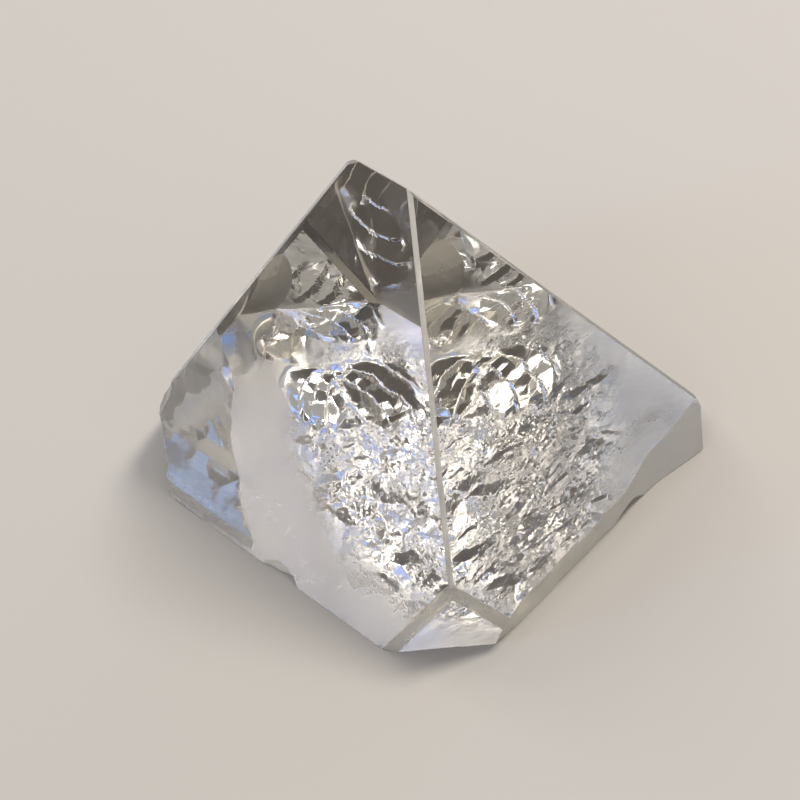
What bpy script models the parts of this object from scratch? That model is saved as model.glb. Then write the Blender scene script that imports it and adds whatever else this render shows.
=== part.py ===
"""Apophyllite point: one clear tetragonal crystal, broken off its matrix across the base.

The solid starts as a block that the crystal's own planes cut down to a steep pyramid with stubs of
the prism under its corners. The breaks are Boolean cuts: the hackly hollow floor that it stands on,
the upright break under the right face, the flaked flank on the left, and small chips along the rim.

Row frame: +Z is the crystal's c axis and points to the tip, -Y is the side with the sharp front edge,
and the origin is the middle of the box's floor. Lengths below are millimetres unless a name says
otherwise, measured from the crystal's own axis until the finished solid is centred.
"""

import math

import bmesh
import bpy
from mathutils import Matrix, Vector, noise

MM = 0.001

# The unit cell sets every face angle. Its two edges are in angstroms, and only their ratio is used.
CELL_A = 8.965
CELL_C = 15.767

# The crystal's turn about its c axis, which brings the sharp front edge round to -Y.
FRONT_TURN = math.radians(39.13)

# Each plane is a Miller index and its distance from the crystal's axis at the floor.
PYRAMID_PLANES = {
    "pyramid_left": ((-1, 0, 1), 7.16),
    "pyramid_right": ((0, -1, 1), 9.58),
    "pyramid_back_right": ((1, 0, 1), 15.13),
    "pyramid_back_left": ((0, 1, 1), 16.61),
}
PRISM_PLANES = {
    "prism_front": ((-1, -1, 0), 9.47),
    "prism_right": ((1, -1, 0), 17.26),
    "prism_back": ((1, 1, 0), 20.0),
    "prism_left": ((-1, 1, 0), 15.5),
}
BLOCK_SIZE = 90.0
ROOT_DEPTH = 2.0
CUT_TOLERANCE = 1e-7

# The left end of the short top edge has lost its corner: a point on the chip, and the way it faces.
TIP_CHIP_POINT = (-0.3, 7.65, 22.2)
TIP_CHIP_FACING = (-0.30, 0.38, 0.87)

# The floor is a hollow break that rises gently from the front rims, and steeply from the back ones.
# Each slope starts from a rim of one face: its index, its distance from the axis, and the slope.
# The floor meets the ground on small flat pads, each (x, y, radius).
FLOOR_CENTRE = (1.0, 6.5)
FLOOR_SPAN = 42.0
FLOOR_CELLS = 60
FLOOR_STRAY = 0.45
FLOOR_SWEEP = 8.0
FLOOR_SLOPES = (
    ((-1, 0, 0), 8.2, 0.028),
    ((0, -1, 0), 9.4, 0.028),
    ((1, 0, 0), 17.4, 0.16),
    ((0, 1, 0), 19.1, 0.16),
)
FLOOR_HOLLOW = 0.60
FLOOR_BLEND = 0.07
FLOOR_PADS = ((-3.4, -6.6, 1.6), (14.0, 2.4, 1.8), (-12.0, 7.4, 2.0), (1.5, 21.4, 1.8))
PAD_FADE = 2.4

# Small shell-shaped scoops in the floor, each (x, y, radius, depth).
FLOOR_SCOOPS = (
    (7.4, 17.6, 2.4, 0.20),
    (0.6, 5.6, 2.4, 0.14),
    (7.6, 5.0, 2.2, 0.14),
    (2.6, -2.4, 2.3, 0.12),
)

# Plates and grain roughen the middle of the floor. Both flanks of it broke smoothly.
HACKLE_CENTRE = (3.4, 4.5)
HACKLE_REACH = (8.6, 14.0)
HACKLE_FADE = 3.0
HACKLE_LEAST = 0.12
STEP_CELL = 2.9
STEP_LEVEL = 0.10
STEP_TILT = 0.13
LEAN_SEED = 7.3
RISE_SEED = 5.1
GRAIN_CELL = 1.3
GRAIN_DEPTH = 0.07

# The upright break under the right face. Each station is its place along the face's foot, then its
# distance from the axis at the floor and how far that distance grows for each millimetre of height.
SIDE_STATIONS = (
    (-9.0, 9.4, 0.30),
    (-4.0, 9.5, 0.28),
    (-1.0, 9.6, 0.08),
    (3.0, 9.4, 0.14),
    (7.0, 9.25, 0.16),
    (10.5, 9.15, 0.00),
    (14.5, 9.65, -0.19),
    (20.0, 9.65, -0.19),
)
SIDE_CELL = 0.9
SIDE_HEIGHT = (-3.0, 5.5)
SIDE_RIPPLE = 0.09
SIDE_RIPPLE_LENGTHS = (1.25, 1.8)
SIDE_SWEEP = 12.0

# The flank of the left face broke off behind a ledge. Each station is a height up the face's slope,
# then how far left of the face's middle the ledge stands there, and the face's own back edge.
FLANK_STATIONS = (
    (-6.0, 3.5, 20.2),
    (-3.6, 4.9, 19.0),
    (-1.0, 7.6, 17.6),
    (2.1, 9.3, 16.1),
    (4.7, 10.1, 14.7),
    (7.9, 11.6, 13.1),
    (12.0, 14.5, 11.0),
)
LEDGE_WIDTH = 1.3
LEDGE_RISE = 0.5
FLANK_DEPTH = 0.85
FLANK_FADE = (-3.6, -0.2)
BACK_EDGE_FADE = 2.6
FLANK_CELL = 0.55
FLANK_PLATE = 2.4
FLANK_TILT = 0.30
FLANK_STREAK = 0.35
FLANK_STREAK_LENGTHS = (0.45, 2.9)
FLANK_SPAN = ((2.0, 19.0), (-6.5, 12.0))
FLANK_SWEEP = 6.0

# Shell-shaped scars, each (point on the face, way it faces, radius of curvature, depth).
SCARS = {
    "left_corner_chip": ((-14.6, 9.2, 4.8), (-0.84, 0.20, 0.50), 5.0, 0.62),
    "flank_notch": ((-15.3, 7.3, 1.5), (-0.97, -0.24, 0.05), 1.7, 0.55),
    "left_foot_chip": ((-9.2, -1.7, 0.0), (-0.64, -0.70, 0.30), 4.0, 0.20),
    "left_foot_notch": ((-8.5, -2.5, -0.1), (-0.50, -0.84, 0.20), 1.0, 0.34),
    "right_foot_chip": ((12.6, -1.9, 0.0), (0.50, -0.70, -0.50), 2.6, 0.60),
    "back_scar_left": ((-5.6, 18.8, 2.6), (-0.52, 0.78, 0.34), 9.0, 1.10),
    "back_scar_right": ((12.8, 14.4, 2.0), (0.80, 0.50, 0.33), 8.0, 0.80),
    "back_foot_scar": ((-1.8, 20.4, 1.5), (-0.15, 0.96, 0.22), 6.0, 0.80),
}
SCAR_FINENESS = 4
SCAR_UNEVEN = 0.05
SCAR_UNEVEN_LENGTH = 1.1


def clear_scene():
    for obj in list(bpy.data.objects):
        bpy.data.objects.remove(obj)


def crystal_normal(index):
    """The outward normal of a Miller index, in the row frame."""
    h, k, l = index
    across = Vector((h / CELL_A, k / CELL_A, l / CELL_C)).normalized()
    return Matrix.Rotation(FRONT_TURN, 3, "Z") @ across


def cut_by_plane(bm, point, normal):
    """Takes off what lies outside a plane, and closes the cut with one face."""
    everything = bm.verts[:] + bm.edges[:] + bm.faces[:]
    cut = bmesh.ops.bisect_plane(
        bm, geom=everything, plane_co=point, plane_no=normal, clear_outer=True, dist=CUT_TOLERANCE
    )
    rim = [e for e in cut["geom_cut"] if isinstance(e, bmesh.types.BMEdge)]
    if rim:
        bmesh.ops.contextual_create(bm, geom=rim)


def grown_crystal(collection):
    """The whole crystal as it grew, with some of its root left below the floor for the break."""
    bm = bmesh.new()
    bmesh.ops.create_cube(bm, size=BLOCK_SIZE * MM)
    for index, distance in (*PYRAMID_PLANES.values(), *PRISM_PLANES.values()):
        normal = crystal_normal(index)
        cut_by_plane(bm, normal * distance * MM, normal)
    cut_by_plane(bm, Vector(TIP_CHIP_POINT) * MM, Vector(TIP_CHIP_FACING).normalized())
    cut_by_plane(bm, Vector((0, 0, -ROOT_DEPTH * MM)), Vector((0, 0, -1)))
    return object_from(bm, "crystal", collection)


def object_from(bm, name, collection):
    """Turns a closed bmesh, given in metres, into a named object with its faces pointing out."""
    bmesh.ops.recalc_face_normals(bm, faces=bm.faces)
    mesh = bpy.data.meshes.new(name)
    bm.to_mesh(mesh)
    bm.free()
    obj = bpy.data.objects.new(name, mesh)
    collection.objects.link(obj)
    return obj


def smooth_step(low, high, value):
    """0 below low, 1 above high, and an even ramp between them."""
    t = min(max((value - low) / (high - low), 0.0), 1.0)
    return t * t * (3.0 - 2.0 * t)


def stepped_plates(x, y, cell, level, tilt):
    """Plates a cell across, each at a height and a tilt of its own, as a brittle break leaves them."""
    here = Vector((x / cell, y / cell, 0.5))
    nearest = noise.voronoi(here)[1][0]
    lean = noise.cell_vector(nearest * LEAN_SEED) - Vector((0.5, 0.5, 0.5))
    rise = noise.cell(nearest * RISE_SEED) * level
    away = here - nearest
    return rise + cell * tilt * (away.x * lean.x + away.y * lean.y)


def hackle_share(x, y):
    """How rough the floor is at a place: 1 in the middle, and little on its two smooth flanks."""
    across = (x - HACKLE_CENTRE[0]) / HACKLE_REACH[0]
    along = (y - HACKLE_CENTRE[1]) / HACKLE_REACH[1]
    inside = smooth_step(0.0, HACKLE_FADE / HACKLE_REACH[0], 1.0 - math.hypot(across, along))
    return HACKLE_LEAST + (1.0 - HACKLE_LEAST) * inside


def blended_least(heights):
    """The least of some heights, with the corners between them rounded."""
    total = sum(math.exp(-height / FLOOR_BLEND) for height in heights)
    return -FLOOR_BLEND * math.log(total)


def hollow_height(x, y):
    """The floor's large form: a hollow that rises from the four rims."""
    heights = [FLOOR_HOLLOW]
    for index, distance, slope in FLOOR_SLOPES:
        heights.append((distance - crystal_normal(index).dot(Vector((x, y, 0)))) * slope)
    return blended_least(heights)


def floor_height(x, y):
    """How high the broken floor stands above the ground, in millimetres."""
    height = hollow_height(x, y)
    for scoop_x, scoop_y, radius, depth in FLOOR_SCOOPS:
        inside = math.hypot(x - scoop_x, y - scoop_y) / radius
        height += depth * max(1.0 - inside ** 2, 0.0)
    plates = stepped_plates(x, y, STEP_CELL, STEP_LEVEL, STEP_TILT)
    grain = noise.noise(Vector((x, y, 0.0)) / GRAIN_CELL) * GRAIN_DEPTH
    height = max(height + (plates + grain) * hackle_share(x, y), 0.0)
    for pad_x, pad_y, radius in FLOOR_PADS:
        distance = math.hypot(x - pad_x, y - pad_y)
        height *= smooth_step(radius, radius + PAD_FADE, distance)
    return height


def swept_grid(name, columns, rows, place, sweep, collection):
    """A cutter: a grid whose points place(u, v) sets, swept straight to one side of it."""
    bm = bmesh.new()
    bmesh.ops.create_grid(bm, x_segments=columns, y_segments=rows, size=0.5)
    for vert in bm.verts:
        vert.co = Vector(place(vert.co.x + 0.5, vert.co.y + 0.5)) * MM
    swept = bmesh.ops.extrude_face_region(bm, geom=bm.faces[:], use_keep_orig=True)
    moved = [v for v in swept["geom"] if isinstance(v, bmesh.types.BMVert)]
    bmesh.ops.translate(bm, verts=moved, vec=Vector(sweep) * MM)
    cutter = object_from(bm, name, collection)
    cutter.data.shade_smooth()
    return cutter


def floor_break(collection):
    """Everything under the hackly floor."""
    cell = FLOOR_SPAN / FLOOR_CELLS

    def place(u, v):
        x = FLOOR_CENTRE[0] + (u - 0.5) * FLOOR_SPAN
        y = FLOOR_CENTRE[1] + (v - 0.5) * FLOOR_SPAN
        stray = noise.noise_vector(Vector((x, y, 0.0)) / cell) * cell * FLOOR_STRAY
        x += stray.x
        y += stray.y
        return x, y, floor_height(x, y)

    return swept_grid("floor_break", FLOOR_CELLS, FLOOR_CELLS, place, (0, 0, -FLOOR_SWEEP), collection)


def between_stations(stations, place):
    """The values of the two stations next to a place, blended smoothly."""
    for near, far in zip(stations, stations[1:]):
        if place <= far[0]:
            break
    share = smooth_step(near[0], far[0], place)
    return [a + (b - a) * share for a, b in zip(near[1:], far[1:])]


def side_break(collection):
    """The upright break that takes the thin lower edge off the right face."""
    outward = crystal_normal((0, -1, 0))
    along_foot = crystal_normal((1, 0, 0))
    first, last = SIDE_STATIONS[0][0], SIDE_STATIONS[-1][0]
    low, high = SIDE_HEIGHT

    def place(u, v):
        along = first + u * (last - first)
        height = low + v * (high - low)
        ripple_place = Vector((along / SIDE_RIPPLE_LENGTHS[0], height / SIDE_RIPPLE_LENGTHS[1], 0.0))
        ripple = noise.noise(ripple_place) * SIDE_RIPPLE
        foot, lean = between_stations(SIDE_STATIONS, along)
        distance = foot + lean * height + ripple
        return outward * distance + along_foot * along + Vector((0, 0, height))

    columns = round((last - first) / SIDE_CELL)
    rows = round((high - low) / SIDE_CELL)
    return swept_grid("side_break", columns, rows, place, outward * SIDE_SWEEP, collection)


def flank_depth(across, up):
    """How far under the left face the flank broke. It is negative where the face is whole."""
    ledge, back_edge = between_stations(FLANK_STATIONS, up)
    streak_place = Vector((across / FLANK_STREAK_LENGTHS[0], up / FLANK_STREAK_LENGTHS[1], 0.0))
    streaks = noise.noise(streak_place) * FLANK_STREAK
    step = smooth_step(ledge, ledge + LEDGE_WIDTH, across + streaks)
    fade = smooth_step(*FLANK_FADE, up) * smooth_step(0.0, BACK_EDGE_FADE, back_edge - across)
    plates = stepped_plates(across, up, FLANK_PLATE, 0.0, FLANK_TILT)
    return step * ((FLANK_DEPTH + plates) * fade + LEDGE_RISE) - LEDGE_RISE


def flank_break(collection):
    """The slab that split off the left face, behind its ledge."""
    outward = crystal_normal(PYRAMID_PLANES["pyramid_left"][0])
    leftward = crystal_normal((0, 1, 0))
    upward = outward.cross(leftward)
    if upward.z < 0.0:
        upward = -upward
    (right, left), (low, high) = FLANK_SPAN
    face_distance = PYRAMID_PLANES["pyramid_left"][1]

    def place(u, v):
        across = right + u * (left - right)
        up = low + v * (high - low)
        distance = face_distance - flank_depth(across, up)
        return outward * distance + leftward * across + upward * up

    columns = round((left - right) / FLANK_CELL)
    rows = round((high - low) / FLANK_CELL)
    return swept_grid("flank_break", columns, rows, place, outward * FLANK_SWEEP, collection)


def scar(name, point, facing, radius, depth, collection):
    """A shell-shaped scar: a slightly uneven ball that bites into the crystal from outside."""
    bm = bmesh.new()
    bmesh.ops.create_icosphere(bm, subdivisions=SCAR_FINENESS, radius=radius)
    for vert in bm.verts:
        uneven = noise.noise(vert.co / SCAR_UNEVEN_LENGTH + Vector(point)) * SCAR_UNEVEN
        vert.co += vert.co.normalized() * uneven
    centre = Vector(point) + Vector(facing).normalized() * (radius - depth)
    bmesh.ops.translate(bm, verts=bm.verts, vec=centre)
    bmesh.ops.scale(bm, verts=bm.verts, vec=Vector((MM, MM, MM)))
    cutter = object_from(bm, name, collection)
    cutter.data.shade_smooth()
    return cutter


def cut_out(body, cutter):
    """Subtracts a cutter, which stays in the file as a wire shape that is not rendered."""
    cutter.display_type = "WIRE"
    cutter.hide_render = True
    cutter.parent = body
    boolean = body.modifiers.new(cutter.name, "BOOLEAN")
    boolean.operation = "DIFFERENCE"
    boolean.solver = "EXACT"
    boolean.object = cutter


def clear_crystal_material():
    """Colourless to faintly warm glass-clear crystal."""
    material = bpy.data.materials.new("apophyllite")
    material.use_nodes = True
    shader = material.node_tree.nodes["Principled BSDF"]
    shader.inputs["Base Color"].default_value = (0.94, 0.94, 0.92, 1.0)
    shader.inputs["Roughness"].default_value = 0.03
    shader.inputs["Metallic"].default_value = 0.0
    shader.inputs["Transmission Weight"].default_value = 1.0
    shader.inputs["IOR"].default_value = 1.535
    return material


def centre_on_floor(body):
    """Moves the crystal and its cutters so that the middle of the box's floor is the origin."""
    shape = body.evaluated_get(bpy.context.evaluated_depsgraph_get()).data
    corners = [body.matrix_world @ v.co for v in shape.vertices]
    low = Vector(min(c[i] for c in corners) for i in range(3))
    high = Vector(max(c[i] for c in corners) for i in range(3))
    body.location = -Vector(((low.x + high.x) / 2, (low.y + high.y) / 2, low.z))


def main():
    clear_scene()
    parts = bpy.data.collections.new("apophyllite_point")
    cutters = bpy.data.collections.new("breaks")
    bpy.context.scene.collection.children.link(parts)
    bpy.context.scene.collection.children.link(cutters)

    crystal = grown_crystal(parts)
    crystal.data.materials.append(clear_crystal_material())
    cut_out(crystal, side_break(cutters))
    cut_out(crystal, flank_break(cutters))
    for name, (point, facing, radius, depth) in SCARS.items():
        cut_out(crystal, scar(name, point, facing, radius, depth, cutters))
    cut_out(crystal, floor_break(cutters))
    centre_on_floor(crystal)


main()
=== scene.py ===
"""Dresses the apophyllite point: clear growth faces, rubbed edges and a hackly broken floor.

It is laid out as an add-on and run as a script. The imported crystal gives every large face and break.
The piece made here carries its finer relief and its finish, and never leaves its box. Metres, +Z up.
"""

import math

import bmesh
import bpy
from bpy.props import FloatProperty, FloatVectorProperty, IntProperty, PointerProperty
from mathutils import Matrix, Vector, kdtree


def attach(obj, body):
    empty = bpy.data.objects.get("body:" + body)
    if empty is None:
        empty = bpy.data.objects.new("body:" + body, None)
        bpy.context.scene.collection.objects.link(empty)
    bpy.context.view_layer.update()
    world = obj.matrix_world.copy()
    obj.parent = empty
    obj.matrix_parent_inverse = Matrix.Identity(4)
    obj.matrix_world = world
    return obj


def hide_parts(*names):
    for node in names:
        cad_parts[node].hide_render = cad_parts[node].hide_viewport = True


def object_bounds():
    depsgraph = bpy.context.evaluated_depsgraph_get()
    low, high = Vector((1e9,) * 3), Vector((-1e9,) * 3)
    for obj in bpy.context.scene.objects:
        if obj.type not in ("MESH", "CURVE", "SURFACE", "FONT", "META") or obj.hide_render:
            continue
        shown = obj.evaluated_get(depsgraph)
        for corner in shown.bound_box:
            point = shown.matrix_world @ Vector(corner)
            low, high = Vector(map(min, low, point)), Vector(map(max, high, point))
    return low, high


bl_info = {
    "name": "Apophyllite point",
    "version": (1, 0, 0),
    "blender": (4, 5, 0),
    "location": "View3D > Sidebar > Crystal",
    "description": "Finishes a clear apophyllite tip: faces, worn edges, broken floor and stage",
    "category": "Object",
}

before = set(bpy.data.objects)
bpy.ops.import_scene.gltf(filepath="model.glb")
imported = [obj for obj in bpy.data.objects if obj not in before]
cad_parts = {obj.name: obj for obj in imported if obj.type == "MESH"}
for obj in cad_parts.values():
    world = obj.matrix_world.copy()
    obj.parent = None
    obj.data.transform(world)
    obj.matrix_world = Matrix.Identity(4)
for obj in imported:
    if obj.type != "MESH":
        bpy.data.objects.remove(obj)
CAD_BOX = [list(corner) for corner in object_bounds()]
MM = 0.001

# The crystal's own directions: its cell, in angstroms, and its turn about the upright c axis.
CELL_A = 8.965
CELL_C = 15.767
FRONT_TURN = math.radians(39.13)
GROWTH_INDICES = (
    (-1, 0, 1), (0, -1, 1), (1, 0, 1), (0, 1, 1),
    (-1, -1, 0), (1, -1, 0), (1, 1, 0), (-1, 1, 0),
)

# How nearly a face has to point along a growth direction to be a growth face (a cosine), and the
# largest angle between two faces of one plane.
SAME_FACING = 0.99998
FLAT_ANGLE = 0.01

# Corners closer than this are one corner, and a cut passes through a corner that is nearer than this.
SAME_CORNER = 1e-6
ON_THE_CUT = 1e-7

# Shorter edges between growth faces aren't rubbed.
LEAST_RIDGE = 2.0 * MM

# A break that points down more than this is part of the floor. A growth face that points further back
# than this is one of the back faces. An upright break that points further back, or further to the
# right, than the last two is milky.
FLOOR_FACING = -0.5
BACK_FACING = 0.3
MILKY_BACK_FACING = 0.75
MILKY_RIGHT_FACING = 0.3

# Where the crystal's own axis stands in the row frame. The places below are measured from it, in mm.
CRYSTAL_AXIS = Vector((-1.448, -5.155, 0.0)) * MM

# The rough middle of the broken floor, as an ellipse, and the share of it in which it fades out.
HACKLE_CENTRE = (3.4, 4.5)
HACKLE_REACH = (8.6, 14.0)
HACKLE_FADE = 0.35

# How much relief there is in the floor's margin, in most of its middle, and on the upright breaks, where
# 1 is the most. It fades out at the rims over a short way.
RELIEF_LEAST = 0.05
RELIEF_USUAL = 0.60
SIDE_RELIEF = 0.05
RIM_FADE = 0.8 * MM

# How rubbed the upright breaks are, where an edge is 1.
SIDE_WEAR = 0.35

# The smooth shell-shaped breaks in the floor are the crystal's dark windows, because light leaves
# through their small steps. Each is a place (x, y), how far it reaches in x and y, and the bearing, in
# degrees from +Y towards +X, that its steps climb along.
WINDOWS = (
    ((3.9, 11.2), (2.9, 3.2), 62.0),
    ((-1.2, 11.6), (2.1, 3.3), -61.0),
    ((3.4, 18.0), (3.4, 2.4), 60.0),
    ((-1.7, 17.4), (2.4, 2.4), -57.0),
)

# The steps curve around a point that is this far back from the middle of their window.
WINDOW_CURVE = 6.0 * MM

# Between which shares of a window's reach its steps fade out, and the hackle around it fades in.
STEPS_FADE = (0.8, 1.0)
HACKLE_FADE_IN = (0.7, 1.1)

# The flakiest round places on the floor, each (x, y, radius), and the clear ones in its milky margin.
# Each fades out beyond this share of its radius.
FLAKY_SPOTS = ((4.8, 7.4, 2.8), (9.0, 8.3, 2.4), (6.6, 14.4, 2.0), (-1.6, 2.3, 2.4), (0.0, -3.6, 2.6))
CLEAR_SPOTS = ((-5.4, 16.6, 3.0),)
SPOT_CORE = 0.4

# The outer parts of the two back faces are frosted: how far from this x the clear middle reaches, how
# much its outline wanders, and how soft it is.
CLEAR_MIDDLE_X = 0.25 * MM
CLEAR_MIDDLE_REACH = 4.6 * MM
FROST_WANDER = 2.0 * MM
FROST_SOFTNESS = 0.5 * MM

# Plates of several sizes make the hackle. Each row gives their size and their tilt as shares of the
# ones set in the panel, how much longer than wide they are, and which way they run, in degrees.
PLATE_SIZES = (
    (1.00, 0.35, 1.5, 35.0),
    (0.42, 0.75, 2.0, 65.0),
    (0.19, 1.15, 2.2, 20.0),
)

# The smaller plates come in patches: how many patches a metre, the range of the noise over which they
# come in, and how strong they are outside and inside the patches.
PLATE_PATCHES = 240.0
PLATE_PATCH_EDGE = (0.38, 0.60)
PLATE_PATCH_SHARE = (0.15, 1.0)

# Plates and steps run in bent lines: how many bends a metre, the span over which they shift things,
# and the share of it that the steps take.
SWIRLS = 330.0
SWIRL_REACH = 2.4 * MM
STEP_SWIRL_SHARE = 0.7

# The finest flakes are too small for the mesh, so the material raises them: size, tilt, how much
# longer than wide, and which way they run, in degrees.
FLAKE_SIZES = (
    (0.26 * MM, 0.34, 1.8, 50.0),
    (0.13 * MM, 0.40, 1.4, -20.0),
)

# How many finer layers are added to the noise of all patches, and to that of the bends.
PATCH_DETAIL = 2.0
SWIRL_DETAIL = 1.0

# The material's patches: how many a metre, the ranges of their noise over which frosting and flakes
# come in, and how strong the flakes are outside and inside them.
FROST_PATCHES = 260.0
FROSTING_EDGE = (0.36, 0.66)
FLAKES_EDGE = (0.35, 0.55)
FLAKES_SHARE = (0.25, 1.0)

# How rough the hackle is outside and inside the frosted patches, and which share of that it keeps where
# its relief runs from none to the usual. Then how rough worn, back and milky surfaces are.
HACKLE_ROUGHNESS = (0.08, 0.42)
SMOOTH_SHARE = (0.15, 1.0)
WEAR_ROUGHNESS = 0.34
BACK_ROUGHNESS = 0.42
MILK_ROUGHNESS = 0.38

# What the crystal does to light: its refraction, its surface colour, the share that worn surfaces
# scatter, and how fast the body tint builds up.
REFRACTION = 1.535
SURFACE_COLOUR = (1.0, 0.99, 0.975, 1.0)
WEAR_SCATTER = 0.40
TINT_DENSITY = 12.0

# The middle of noise, cell colours and steps, which all lie between 0 and 1.
MIDDLE = 0.5
MIDDLES = (MIDDLE, MIDDLE, MIDDLE)


class CrystalSizes(bpy.types.PropertyGroup):
    edge_wear: FloatProperty(
        name="Edge wear", description="Width of the narrow rubbed strip along each edge",
        default=0.19 * MM, min=0.0, precision=5, unit="LENGTH",
    )
    floor_cuts: IntProperty(
        name="Floor cuts", description="How many times each edge of the broken surfaces is cut",
        default=5, min=1, max=6,
    )
    plate_size: FloatProperty(
        name="Plate size", description="Width of the largest tilted plates of the broken floor",
        default=2.2 * MM, min=0.1 * MM, precision=5, unit="LENGTH",
    )
    plate_tilt: FloatProperty(
        name="Plate tilt", description="How steeply the plates lean, as rise over run",
        default=0.30, min=0.0, max=1.0,
    )
    step_width: FloatProperty(
        name="Step width", description="Width of the small steps in the smooth breaks of the floor",
        default=1.7 * MM, min=0.1 * MM, precision=5, unit="LENGTH",
    )
    step_tilt: FloatProperty(
        name="Step tilt", description="How steeply those small steps lean, as rise over run",
        default=0.28, min=0.0, max=1.0,
    )


class CrystalColours(bpy.types.PropertyGroup):
    body_tint: FloatVectorProperty(
        name="Body tint", description="Colour that light takes on inside the crystal",
        default=(0.86, 0.85, 0.81), subtype="COLOR", min=0.0, max=1.0,
    )
    floor_colour: FloatVectorProperty(
        name="Stage floor", description="Colour of the plain floor",
        default=(0.50, 0.49, 0.47), subtype="COLOR", min=0.0, max=1.0,
    )


def crystal_normal(index):
    """The outward normal of a Miller index, in the row frame."""
    h, k, l = index
    across = Vector((h / CELL_A, k / CELL_A, l / CELL_C)).normalized()
    return Matrix.Rotation(FRONT_TURN, 3, "Z") @ across


def smooth_step(low, high, value):
    """0 below low, 1 above high, and an eased ramp between them."""
    t = min(max((value - low) / (high - low), 0.0), 1.0)
    return t * t * (3.0 - 2.0 * t)


def add_node(tree, kind, inputs, **settings):
    """Adds a node with its settings, and wires or fills the inputs given by name or number."""
    node = tree.nodes.new(kind)
    for name, value in settings.items():
        setattr(node, name, value)
    for key, value in inputs.items():
        if isinstance(value, bpy.types.NodeSocket):
            tree.links.new(value, node.inputs[key])
        else:
            node.inputs[key].default_value = value
    return node


def maths(tree, operation, *values):
    """The result of one sum on numbers or sockets."""
    inputs = dict(enumerate(values))
    return add_node(tree, "ShaderNodeMath", inputs, operation=operation).outputs["Value"]


def vector_maths(tree, operation, *values):
    """The vector that one vector sum gives."""
    inputs = dict(enumerate(values))
    return add_node(tree, "ShaderNodeVectorMath", inputs, operation=operation).outputs["Vector"]


def vector_value(tree, operation, *values):
    """The number that one vector sum gives."""
    inputs = dict(enumerate(values))
    return add_node(tree, "ShaderNodeVectorMath", inputs, operation=operation).outputs["Value"]


def map_range(tree, value, given, wanted):
    """A value carried from one range to another, and held inside it."""
    inputs = {
        "Value": value, "From Min": given[0], "From Max": given[1],
        "To Min": wanted[0], "To Max": wanted[1],
    }
    return add_node(tree, "ShaderNodeMapRange", inputs).outputs["Result"]


def noise(tree, place, scale, detail):
    """A node of even noise, with its value and its colours between 0 and 1."""
    return add_node(tree, "ShaderNodeTexNoise", {"Vector": place, "Scale": scale, "Detail": detail})


def shader_attribute(tree, name):
    """One of the mesh's own values, for the material."""
    return add_node(tree, "ShaderNodeAttribute", {}, attribute_name=name).outputs["Fac"]


def mesh_attribute(tree, name):
    """One of the mesh's own values, for the Geometry Nodes."""
    node = add_node(tree, "GeometryNodeInputNamedAttribute", {"Name": name}, data_type="FLOAT")
    return node.outputs["Attribute"]


def plates(tree, position, size, tilt, longer, turn):
    """Nodes for plates of one size, each leaning its own way. Returns the socket of their height."""
    turned = add_node(tree, "ShaderNodeVectorRotate", {
        "Vector": position, "Angle": math.radians(turn),
    }, rotation_type="Z_AXIS").outputs["Vector"]
    stretched = vector_maths(tree, "DIVIDE", turned, (1.0, longer, 1.0))
    sizes = size if isinstance(size, bpy.types.NodeSocket) else (size, size, size)
    place = vector_maths(tree, "DIVIDE", stretched, sizes)
    cells = add_node(tree, "ShaderNodeTexVoronoi", {"Vector": place, "Scale": 1.0})
    away = vector_maths(tree, "SUBTRACT", place, cells.outputs["Position"])
    lean = vector_maths(tree, "SUBTRACT", cells.outputs["Color"], MIDDLES)
    steep = maths(tree, "MULTIPLY", vector_value(tree, "DOT_PRODUCT", away, lean), tilt)
    return maths(tree, "MULTIPLY", steep, size)


def frost_share(tree, place, patches):
    """How frosted a back face is: not at all in its middle, and fully in its outer part."""
    x = add_node(tree, "ShaderNodeSeparateXYZ", {"Vector": place}).outputs["X"]
    away = maths(tree, "ABSOLUTE", maths(tree, "SUBTRACT", x, CLEAR_MIDDLE_X))
    uneven = maths(tree, "MULTIPLY_ADD", patches, FROST_WANDER, away)
    edge = CLEAR_MIDDLE_REACH + FROST_WANDER * MIDDLE
    share = map_range(tree, uneven, (edge - FROST_SOFTNESS, edge + FROST_SOFTNESS), (0.0, 1.0))
    return maths(tree, "MULTIPLY", share, shader_attribute(tree, "back"))


def surface_roughness(tree, place, patches, wear, relief):
    """Polished growth faces, and rougher ones the more hackly, worn, frosted or milky they are."""
    frosting = map_range(tree, patches, FROSTING_EDGE, HACKLE_ROUGHNESS)
    kept = map_range(tree, relief, (0.0, RELIEF_USUAL), SMOOTH_SHARE)
    rough = maths(tree, "MULTIPLY", frosting, kept)
    rough = maths(tree, "MULTIPLY", rough, shader_attribute(tree, "hackle"))
    rough = maths(tree, "MULTIPLY_ADD", wear, WEAR_ROUGHNESS, rough)
    rough = maths(tree, "MULTIPLY_ADD", frost_share(tree, place, patches), BACK_ROUGHNESS, rough)
    return maths(tree, "MULTIPLY_ADD", shader_attribute(tree, "milk"), MILK_ROUGHNESS, rough)


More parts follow.
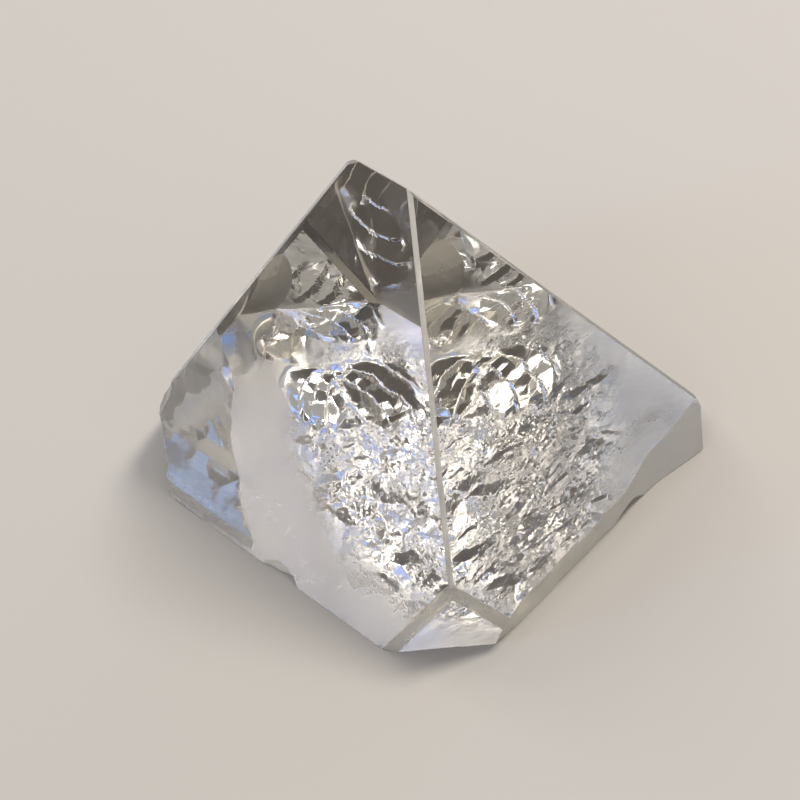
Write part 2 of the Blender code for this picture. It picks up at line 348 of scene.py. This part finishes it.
def crystal_shader(colours):
    """One see-through material: polished growth faces, frosted wear, and grain on the breaks."""
    material = bpy.data.materials.new("apophyllite")
    material.use_nodes = True
    tree = material.node_tree
    shader = tree.nodes["Principled BSDF"]
    shader.inputs["Base Color"].default_value = SURFACE_COLOUR
    shader.inputs["IOR"].default_value = REFRACTION

    wear = shader_attribute(tree, "wear")
    relief = shader_attribute(tree, "relief")
    place = tree.nodes.new("ShaderNodeTexCoord").outputs["Object"]
    patches = noise(tree, place, FROST_PATCHES, PATCH_DETAIL).outputs["Fac"]
    rough = surface_roughness(tree, place, patches, wear, relief)
    tree.links.new(rough, shader.inputs["Roughness"])
    clear = maths(tree, "MULTIPLY_ADD", wear, -WEAR_SCATTER, 1.0)
    tree.links.new(clear, shader.inputs["Transmission Weight"])

    flake_share = maths(tree, "MULTIPLY", map_range(tree, patches, FLAKES_EDGE, FLAKES_SHARE), relief)
    flakes = 0.0
    for size, tilt, longer, turn in FLAKE_SIZES:
        flakes = maths(tree, "ADD", flakes, plates(tree, place, size, tilt, longer, turn))
    bump = add_node(tree, "ShaderNodeBump", {"Strength": flake_share, "Distance": 1.0, "Height": flakes})
    tree.links.new(bump.outputs["Normal"], shader.inputs["Normal"])

    absorb = add_node(tree, "ShaderNodeVolumeAbsorption", {
        "Color": (*colours.body_tint, 1.0), "Density": TINT_DENSITY,
    })
    tree.links.new(absorb.outputs["Volume"], tree.nodes["Material Output"].inputs["Volume"])
    return material


def growth_faces(bm):
    """The faces that lie on one of the crystal's own planes."""
    normals = [crystal_normal(index) for index in GROWTH_INDICES]
    return {f for f in bm.faces if max(f.normal.dot(n) for n in normals) > SAME_FACING}


def edge_between(edge, faces):
    """Whether an edge joins two of these faces."""
    return len(edge.link_faces) == 2 and all(f in faces for f in edge.link_faces)


def ridge_planes(bm, grown, width):
    """The planes that rub a strip of one width off each long edge between two growth faces."""
    planes = []
    for edge in bm.edges:
        if not edge_between(edge, grown) or edge.calc_length() < LEAST_RIDGE:
            continue
        normal = (edge.link_faces[0].normal + edge.link_faces[1].normal).normalized()
        depth = width / (2.0 * math.tan(edge.calc_face_angle() / 2.0))
        planes.append((edge.verts[0].co - normal * depth, normal))
    return planes


def cut_by_plane(bm, point, normal):
    """Takes off what lies outside a plane, and returns the face that closes the cut."""
    everything = bm.verts[:] + bm.edges[:] + bm.faces[:]
    cut = bmesh.ops.bisect_plane(
        bm, geom=everything, plane_co=point, plane_no=normal, clear_outer=True, dist=ON_THE_CUT
    )
    rim = [e for e in cut["geom_cut"] if isinstance(e, bmesh.types.BMEdge)]
    return bmesh.ops.contextual_create(bm, geom=rim)["faces"][0]


def merge_growth_faces(bm):
    """Makes one face of each growth face's triangles."""
    grown = growth_faces(bm)
    inner = [e for e in bm.edges if edge_between(e, grown) and e.calc_face_angle() < FLAT_ANGLE]
    bmesh.ops.dissolve_edges(bm, edges=inner, use_verts=True)


def rub_edges(bm, width):
    """Cuts the rubbed strips along the long edges, and returns their faces."""
    worn = set()
    for point, normal in ridge_planes(bm, growth_faces(bm), width):
        worn.add(cut_by_plane(bm, point, normal))
    return {f for f in worn if f.is_valid}


def cut_breaks_finer(bm, worn, cuts):
    """Cuts the faces of the broken surfaces into small ones, which the hackle can move."""
    grown = growth_faces(bm)
    broken = [f for f in bm.faces if f not in worn and f not in grown]
    edges = list({e for f in broken for e in f.edges})
    bmesh.ops.subdivide_edges(bm, edges=edges, cuts=cuts, use_grid_fill=True)
    bmesh.ops.recalc_face_normals(bm, faces=bm.faces)


def wear_of(face, grown, worn):
    """How rubbed a face is: fully on the edges, a little on the upright breaks, else not at all."""
    if face in worn:
        return 1.0
    return 0.0 if face in grown or face.normal.z < FLOOR_FACING else SIDE_WEAR


def tag_zones(bm, layers, grown, worn):
    """Marks how worn each face is, and whether it is a broken surface or a back face."""
    for face in bm.faces:
        face[layers["wear"]] = wear_of(face, grown, worn)
        face[layers["hackle"]] = float(face not in worn and face not in grown)
        face[layers["back"]] = float(face in grown and face.normal.y > BACK_FACING)


def spot_share(x, y, spots):
    """1 in the middle of a round place, and 0 outside them all."""
    shares = []
    for middle_x, middle_y, radius in spots:
        outness = math.hypot(x - middle_x, y - middle_y) / radius
        shares.append(1.0 - smooth_step(SPOT_CORE, 1.0, outness))
    return max(shares)


def hackle_share(x, y):
    """1 in the rough middle of the broken floor, and 0 in its smooth margin."""
    across = (x - HACKLE_CENTRE[0]) / HACKLE_REACH[0]
    along = (y - HACKLE_CENTRE[1]) / HACKLE_REACH[1]
    return smooth_step(0.0, HACKLE_FADE, 1.0 - math.hypot(across, along))


def outside_windows(x, y):
    """0 in the smooth shell-shaped breaks, and 1 outside them all."""
    share = 1.0
    for (middle_x, middle_y), (reach_x, reach_y), _ in WINDOWS:
        outness = math.hypot((x - middle_x) / reach_x, (y - middle_y) / reach_y)
        share *= smooth_step(*HACKLE_FADE_IN, outness)
    return share


def floor_relief(x, y):
    """How much relief the broken floor has at a place."""
    rough = RELIEF_USUAL + (1.0 - RELIEF_USUAL) * spot_share(x, y, FLAKY_SPOTS)
    rough *= outside_windows(x, y)
    return RELIEF_LEAST + (1.0 - RELIEF_LEAST) * rough * hackle_share(x, y)


def floor_milk(x, y):
    """How milky the broken floor is at a place: its margin is, and its hackle is not."""
    margin = 1.0 - hackle_share(x, y)
    return margin * outside_windows(x, y) * (1.0 - spot_share(x, y, CLEAR_SPOTS))


def side_milk(normal):
    """The breaks at the back and at the right are milky, and those at the left are glassy."""
    return float(normal.y > MILKY_BACK_FACING or normal.x > MILKY_RIGHT_FACING)


def mark_breaks(bm, layers, smooth_faces):
    """Sets the relief and the milkiness of the breaks. Relief stops short of their rims and of the pads
    that the crystal rests on."""
    rim = [v for v in bm.verts if any(f in smooth_faces for f in v.link_faces) or v.co.z < SAME_CORNER]
    near = kdtree.KDTree(len(rim))
    for index, vert in enumerate(rim):
        near.insert(vert.co, index)
    near.balance()
    for vert in bm.verts:
        if any(f in smooth_faces for f in vert.link_faces):
            continue
        fade = smooth_step(0.0, RIM_FADE, near.find(vert.co)[2])
        if vert.normal.z < FLOOR_FACING:
            x = (vert.co.x - CRYSTAL_AXIS.x) / MM
            y = (vert.co.y - CRYSTAL_AXIS.y) / MM
            vert[layers["relief"]] = fade * floor_relief(x, y)
            vert[layers["floor"]] = fade
            vert[layers["milk"]] = floor_milk(x, y)
        else:
            vert[layers["relief"]] = fade * SIDE_RELIEF
            vert[layers["milk"]] = side_milk(vert.normal)


def window_steps(tree, position, window, width, tilt):
    """Nodes for the curved small steps of one smooth break. Returns the socket of their height."""
    place, reach, bearing = window
    middle = CRYSTAL_AXIS + Vector((*place, 0.0)) * MM
    climb = Vector((math.sin(math.radians(bearing)), math.cos(math.radians(bearing)), 0.0))
    from_middle = vector_maths(tree, "SUBTRACT", position, middle)
    scaled = vector_maths(tree, "DIVIDE", from_middle, (reach[0] * MM, reach[1] * MM, 1.0))
    inside = map_range(tree, vector_value(tree, "LENGTH", scaled), STEPS_FADE, (1.0, 0.0))
    from_centre = vector_maths(tree, "SUBTRACT", position, middle - climb * WINDOW_CURVE)
    level = vector_maths(tree, "MULTIPLY", from_centre, (1.0, 1.0, 0.0))
    step = maths(tree, "FRACT", maths(tree, "DIVIDE", vector_value(tree, "LENGTH", level), width))
    height = maths(tree, "MULTIPLY", maths(tree, "SUBTRACT", step, MIDDLE), width)
    return maths(tree, "MULTIPLY", maths(tree, "MULTIPLY", height, tilt), inside)


def plate_offset(tree, given, position, swirl):
    """Nodes that push the surface in and out along its normal, in plates of all sizes."""
    warped = vector_maths(tree, "ADD", position, swirl)
    patches = noise(tree, position, PLATE_PATCHES, PATCH_DETAIL).outputs["Fac"]
    fine_share = map_range(tree, patches, PLATE_PATCH_EDGE, PLATE_PATCH_SHARE)
    total = 0.0
    for size_share, tilt_share, longer, turn in PLATE_SIZES:
        size = maths(tree, "MULTIPLY", given["Plate Size"], size_share)
        tilt = maths(tree, "MULTIPLY", given["Plate Tilt"], tilt_share)
        if size_share < 1.0:
            tilt = maths(tree, "MULTIPLY", tilt, fine_share)
        total = maths(tree, "ADD", total, plates(tree, warped, size, tilt, longer, turn))
    height = maths(tree, "MULTIPLY", total, mesh_attribute(tree, "relief"))
    normal = tree.nodes.new("GeometryNodeInputNormal").outputs["Normal"]
    scaled = add_node(tree, "ShaderNodeVectorMath", {0: normal, "Scale": height}, operation="SCALE")
    return scaled.outputs["Vector"]


def step_offset(tree, given, position, swirl):
    """Nodes that lift the floor in the small steps of its smooth breaks."""
    share = (STEP_SWIRL_SHARE, STEP_SWIRL_SHARE, 0.0)
    waved = vector_maths(tree, "ADD", position, vector_maths(tree, "MULTIPLY", swirl, share))
    climb = 0.0
    for window in WINDOWS:
        steps = window_steps(tree, waved, window, given["Step Width"], given["Step Tilt"])
        climb = maths(tree, "ADD", climb, steps)
    climb = maths(tree, "MULTIPLY", climb, mesh_attribute(tree, "floor"))
    return add_node(tree, "ShaderNodeCombineXYZ", {"Z": climb}).outputs["Vector"]


def hackle_tree(material):
    """Geometry Nodes that raise plates on the broken surfaces, and steps in the smooth breaks."""
    tree = bpy.data.node_groups.new("hackly_break", "GeometryNodeTree")
    tree.interface.new_socket("Geometry", in_out="INPUT", socket_type="NodeSocketGeometry")
    sockets = []
    for name in ("Plate Size", "Plate Tilt", "Step Width", "Step Tilt"):
        sockets.append(tree.interface.new_socket(name, in_out="INPUT", socket_type="NodeSocketFloat"))
    tree.interface.new_socket("Geometry", in_out="OUTPUT", socket_type="NodeSocketGeometry")
    given = tree.nodes.new("NodeGroupInput").outputs
    position = tree.nodes.new("GeometryNodeInputPosition").outputs["Position"]
    bends = noise(tree, position, SWIRLS, SWIRL_DETAIL).outputs["Color"]
    bends = vector_maths(tree, "SUBTRACT", bends, MIDDLES)
    swirl = vector_maths(tree, "MULTIPLY", bends, (SWIRL_REACH, SWIRL_REACH, SWIRL_REACH))
    inward = plate_offset(tree, given, position, swirl)
    upward = step_offset(tree, given, position, swirl)
    offset = vector_maths(tree, "ADD", inward, upward)
    raised = add_node(tree, "GeometryNodeSetPosition", {"Geometry": given["Geometry"], "Offset": offset})
    realized = add_node(tree, "GeometryNodeRealizeInstances", {"Geometry": raised.outputs["Geometry"]})
    finish = add_node(tree, "GeometryNodeSetMaterial", {
        "Geometry": realized.outputs["Geometry"], "Material": material,
    })
    add_node(tree, "NodeGroupOutput", {"Geometry": finish.outputs["Geometry"]})
    return tree, [socket.identifier for socket in sockets]


def raise_hackle(context, crystal, sizes, material):
    """Runs the Geometry Nodes on the crystal, and keeps the mesh that they give."""
    tree, sockets = hackle_tree(material)
    modifier = crystal.modifiers.new("hackly_break", "NODES")
    modifier.node_group = tree
    amounts = (sizes.plate_size, sizes.plate_tilt, sizes.step_width, sizes.step_tilt)
    for socket, amount in zip(sockets, amounts):
        modifier[socket] = amount
    shape = crystal.evaluated_get(context.evaluated_depsgraph_get())
    finished = bpy.data.meshes.new_from_object(shape)
    crystal.modifiers.clear()
    crystal.data = finished


def keep_in_box(mesh):
    """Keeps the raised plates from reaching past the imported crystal's box, also below the ground."""
    low, high = (Vector(corner) for corner in CAD_BOX)
    for vert in mesh.vertices:
        for axis in range(3):
            vert.co[axis] = min(max(vert.co[axis], low[axis]), high[axis])


class CRYSTAL_OT_crystal(bpy.types.Operator):
    """Make the crystal, with worn edges and a hackly broken floor"""

    bl_idname = "crystal.crystal"
    bl_label = "Crystal"

    def execute(self, context):
        sizes = context.scene.crystal_sizes
        bm = bmesh.new()
        bm.from_mesh(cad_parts["crystal"].data)
        for name in ("wear", "hackle", "back"):
            bm.faces.layers.float.new(name)
        for name in ("relief", "floor", "milk"):
            bm.verts.layers.float.new(name)
        bmesh.ops.remove_doubles(bm, verts=bm.verts, dist=SAME_CORNER)
        merge_growth_faces(bm)
        worn = rub_edges(bm, sizes.edge_wear)
        cut_breaks_finer(bm, worn, sizes.floor_cuts)
        grown = growth_faces(bm)
        worn = {f for f in worn if f.is_valid}
        tag_zones(bm, bm.faces.layers.float, grown, worn)
        mark_breaks(bm, bm.verts.layers.float, grown | worn)
        for face in bm.faces:
            face.smooth = face not in grown
        for edge in bm.edges:
            edge.smooth = True
        mesh = bpy.data.meshes.new("clear_crystal")
        bm.to_mesh(mesh)
        bm.free()
        mesh.attributes.remove(mesh.attributes["custom_normal"])

        crystal = bpy.data.objects.new("clear_crystal", mesh)
        context.scene.collection.objects.link(crystal)
        material = crystal_shader(context.scene.crystal_colours)
        mesh.materials.append(material)
        raise_hackle(context, crystal, sizes, material)
        keep_in_box(crystal.data)
        print("crystal", len(crystal.data.polygons), "faces")
        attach(crystal, "root")
        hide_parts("crystal")
        return {"FINISHED"}


# The photograph's view: how far the camera looks down, how it is rolled, what it looks at, how far off
# it is, its lens and film width in mm, and the nearest that it sees.
VIEW_ELEVATION = math.radians(47.49)
VIEW_ROLL = math.radians(-9.786)
VIEW_AIM = CRYSTAL_AXIS + Vector((0.0, 0.0, 10.87)) * MM
VIEW_DISTANCE = 125.0 * MM
VIEW_LENS = 100.0
VIEW_FILM = 36.0
VIEW_NEAREST = 1.0 * MM


def add_camera(scene):
    """Makes the camera, and makes it the scene's."""
    toward = Vector((0, -math.cos(VIEW_ELEVATION), math.sin(VIEW_ELEVATION)))
    level = Vector((1, 0, 0))
    upright = Vector((0, math.sin(VIEW_ELEVATION), math.cos(VIEW_ELEVATION)))
    right = math.cos(VIEW_ROLL) * level + math.sin(VIEW_ROLL) * upright
    up = math.cos(VIEW_ROLL) * upright - math.sin(VIEW_ROLL) * level
    lens = bpy.data.cameras.new("view")
    lens.lens = VIEW_LENS
    lens.sensor_width = VIEW_FILM
    lens.clip_start = VIEW_NEAREST
    camera = bpy.data.objects.new("view", lens)
    camera.matrix_world = Matrix.LocRotScale(
        VIEW_AIM + toward * VIEW_DISTANCE, Matrix((right, up, toward)).transposed(), None
    )
    scene.collection.objects.link(camera)
    scene.camera = camera


# The plain round floor lies just under the crystal. A little light of its own stands for what shines
# through the crystal onto it.
FLOOR_RADIUS = 1.5
FLOOR_SIDES = 96
FLOOR_DROP = 0.02 * MM
FLOOR_ROUGHNESS = 0.8
FLOOR_GLOW = (0.068, 0.057, 0.050, 1.0)

# The even light from all around.
SURROUNDINGS = (0.365, 0.343, 0.312, 1.0)

# The square lamps: azimuth and elevation in degrees, size in metres, power in watts and colour. Azimuth
# 0 is behind the crystal, at +Y, and 90 is at its right. The panels are the soft pale and blue areas
# that the crystal shows, and the glints are its sparkle. All stand equally far from where they aim.
SOFTBOX_DISTANCE = 0.40
SOFTBOX_AIM = Vector((0.0, 0.0, 8.0)) * MM
SOFTBOXES = (
    ("key", 66.0, 54.0, 0.10, 1.15, (1.0, 0.92, 0.82)),
    ("back_panel", 0.0, 52.0, 0.26, 0.016, (1.0, 0.93, 0.84)),
    ("right_panel", -34.0, 38.0, 0.24, 0.270, (1.0, 0.91, 0.80)),
    ("blue_panel_right", 32.0, 24.0, 0.16, 0.110, (0.08, 0.30, 1.0)),
    ("blue_panel_left", -98.0, 20.0, 0.12, 0.30, (0.25, 0.50, 1.0)),
    ("blue_panel_back", 17.0, 38.0, 0.08, 0.016, (0.08, 0.30, 1.0)),
    ("glint_high", 8.0, 63.0, 0.040, 0.03, (1.0, 0.98, 0.95)),
    ("glint_left", -14.0, 46.0, 0.035, 0.025, (1.0, 0.98, 0.95)),
    ("glint_right", 26.0, 56.0, 0.035, 0.02, (1.0, 0.98, 0.95)),
    ("glint_side", -44.0, 46.0, 0.045, 0.04, (1.0, 0.98, 0.95)),
    ("glint_front", -140.0, 46.0, 0.060, 0.05, (1.0, 0.98, 0.95)),
)

# How often light may bounce: off surfaces, through them, and in all.
MIRROR_BOUNCES = 8
CLEAR_BOUNCES = 12
ALL_BOUNCES = 12


def add_softbox(scene, name, azimuth, elevation, size, power, colour):
    """A square lamp that faces the crystal."""
    turn, lift = math.radians(azimuth), math.radians(elevation)
    toward = Vector((math.sin(turn) * math.cos(lift), math.cos(turn) * math.cos(lift), math.sin(lift)))
    lamp = bpy.data.lights.new(name, "AREA")
    lamp.size = size
    lamp.energy = power
    lamp.color = colour
    holder = bpy.data.objects.new(name, lamp)
    holder.location = SOFTBOX_AIM + toward * SOFTBOX_DISTANCE
    holder.rotation_euler = toward.to_track_quat("Z", "Y").to_euler()
    scene.collection.objects.link(holder)


def add_floor(scene):
    """Makes the plain floor, which belongs to the stage."""
    bm = bmesh.new()
    bmesh.ops.create_circle(bm, segments=FLOOR_SIDES, radius=FLOOR_RADIUS, cap_ends=True)
    bmesh.ops.translate(bm, verts=bm.verts, vec=(0, 0, -FLOOR_DROP))
    mesh = bpy.data.meshes.new("stage_floor")
    bm.to_mesh(mesh)
    bm.free()
    floor = bpy.data.objects.new("stage_floor", mesh)
    scene.collection.objects.link(floor)
    material = bpy.data.materials.new("stage_floor")
    material.use_nodes = True
    shader = material.node_tree.nodes["Principled BSDF"]
    shader.inputs["Base Color"].default_value = (*scene.crystal_colours.floor_colour, 1.0)
    shader.inputs["Roughness"].default_value = FLOOR_ROUGHNESS
    shader.inputs["Emission Color"].default_value = FLOOR_GLOW
    shader.inputs["Emission Strength"].default_value = 1.0
    mesh.materials.append(material)


class CRYSTAL_OT_stage(bpy.types.Operator):
    """Make the plain floor, the studio lights and the camera"""

    bl_idname = "crystal.stage"
    bl_label = "Stage"

    def execute(self, context):
        scene = context.scene
        add_floor(scene)
        world = bpy.data.worlds.new("studio")
        world.use_nodes = True
        world.node_tree.nodes["Background"].inputs["Color"].default_value = SURROUNDINGS
        scene.world = world
        for softbox in SOFTBOXES:
            add_softbox(scene, *softbox)
        scene.view_settings.view_transform = "Standard"
        scene.cycles.glossy_bounces = MIRROR_BOUNCES
        scene.cycles.transmission_bounces = CLEAR_BOUNCES
        scene.cycles.max_bounces = ALL_BOUNCES
        scene.cycles.caustics_reflective = False
        scene.cycles.caustics_refractive = False
        add_camera(scene)
        return {"FINISHED"}


class CRYSTAL_PT_panel(bpy.types.Panel):
    bl_label = "Apophyllite point"
    bl_space_type = "VIEW_3D"
    bl_region_type = "UI"
    bl_category = "Crystal"

    def draw(self, context):
        for group in (context.scene.crystal_sizes, context.scene.crystal_colours):
            for name in group.__annotations__:
                self.layout.prop(group, name)
        self.layout.operator("crystal.crystal")
        self.layout.operator("crystal.stage")


CLASSES = (CrystalSizes, CrystalColours, CRYSTAL_OT_crystal, CRYSTAL_OT_stage, CRYSTAL_PT_panel)


def register():
    for cls in CLASSES:
        bpy.utils.register_class(cls)
    bpy.types.Scene.crystal_sizes = PointerProperty(type=CrystalSizes)
    bpy.types.Scene.crystal_colours = PointerProperty(type=CrystalColours)


def unregister():
    del bpy.types.Scene.crystal_colours
    del bpy.types.Scene.crystal_sizes
    for cls in reversed(CLASSES):
        bpy.utils.unregister_class(cls)


def main():
    register()
    bpy.ops.crystal.crystal()
    bpy.ops.crystal.stage()


if __name__ == "__main__":
    main()
